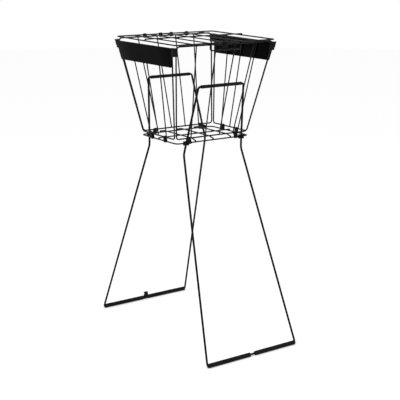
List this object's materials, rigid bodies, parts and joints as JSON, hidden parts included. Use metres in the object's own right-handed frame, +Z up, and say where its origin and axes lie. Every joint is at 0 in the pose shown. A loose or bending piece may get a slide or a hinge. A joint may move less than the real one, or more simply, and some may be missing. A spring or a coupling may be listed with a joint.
{
  "type": "tennis ball basket",
  "caption": "Tapered wire ball basket with a hinged lid, standing on two wire legs that fold up over the rim as carrying handles.",
  "frame": {"origin": "On the floor, at the middle of the bounding box of the standing basket.", "axes": "+Z up; X runs along the front panel and its foot bar; the front, with the lid's pull, faces -Y; the lid is hinged on the back rim at +Y."},
  "size_m": [0.3586, 0.602, 0.8963],
  "materials": {
    "coated_wire": "gloss black powder coat",
    "moulded_clip": "satin moulded black",
    "sign_plate": "gloss black",
    "grip": "ribbed matte black"
  },
  "bodies": {
    "basket": {"front_panel": "coated_wire", "back_panel": "coated_wire", "left_panel": "coated_wire", "right_panel": "coated_wire", "front_hinge_tube": "coated_wire", "back_hinge_tube": "coated_wire", "floor_frame": "coated_wire", "floor_cross_wire": "coated_wire", "floor_wire_1": "coated_wire", "floor_wire_2": "coated_wire", "floor_wire_3": "coated_wire", "corner_clip_front_left": "moulded_clip", "corner_clip_front_right": "moulded_clip", "corner_clip_back_left": "moulded_clip", "corner_clip_back_right": "moulded_clip", "left_sign_plate": "sign_plate", "right_sign_plate": "sign_plate", "floor_clip_front_left": "moulded_clip", "floor_clip_front_right": "moulded_clip", "floor_clip_back_left": "moulded_clip", "floor_clip_back_right": "moulded_clip", "side_clip_front_left": "moulded_clip", "side_clip_front_right": "moulded_clip", "side_clip_back_left": "moulded_clip", "side_clip_back_right": "moulded_clip", "leg_catch_front_left": "moulded_clip", "leg_catch_front_right": "moulded_clip", "leg_catch_back_left": "moulded_clip", "leg_catch_back_right": "moulded_clip", "lid_hinge_clip_1": "moulded_clip", "lid_hinge_clip_2": "moulded_clip", "lid_hinge_clip_3": "moulded_clip", "lid_hinge_clip_4": "moulded_clip"},
    "lid": {"lid_frame": "coated_wire", "lid_cross_wire": "coated_wire", "lid_pull": "coated_wire", "lid_catch": "moulded_clip"},
    "front_handle": {"front_leg": "coated_wire", "front_grip_left": "grip", "front_grip_right": "grip"},
    "back_handle": {"back_leg": "coated_wire", "back_grip_left": "grip", "back_grip_right": "grip"},
    "clip": {"handle_clip": "moulded_clip"}
  },
  "joints": [
    {"name": "front_leg_fold", "type": "hinge", "parent": "basket", "child": "front_handle", "pos_m": [0, -0.13276, 0.767], "axis": [-1, 0, 0], "range_deg": [0, 177.32]},
    {"name": "back_leg_fold", "type": "hinge", "parent": "basket", "child": "back_handle", "pos_m": [0, 0.13276, 0.767], "axis": [1, 0, 0], "range_deg": [0, 177.32]},
    {"name": "lid_open", "type": "hinge", "parent": "basket", "child": "lid", "pos_m": [0, 0.1565, 0.8919], "axis": [-1, 0, 0], "range_deg": [0, 220]},
    {"name": "handle_clip_turn", "type": "hinge", "parent": "back_handle", "child": "clip", "pos_m": [0, 0.2946, 0.00638], "axis": [1, 0, 0], "range_deg": [-87.32, 90]}
  ]
}
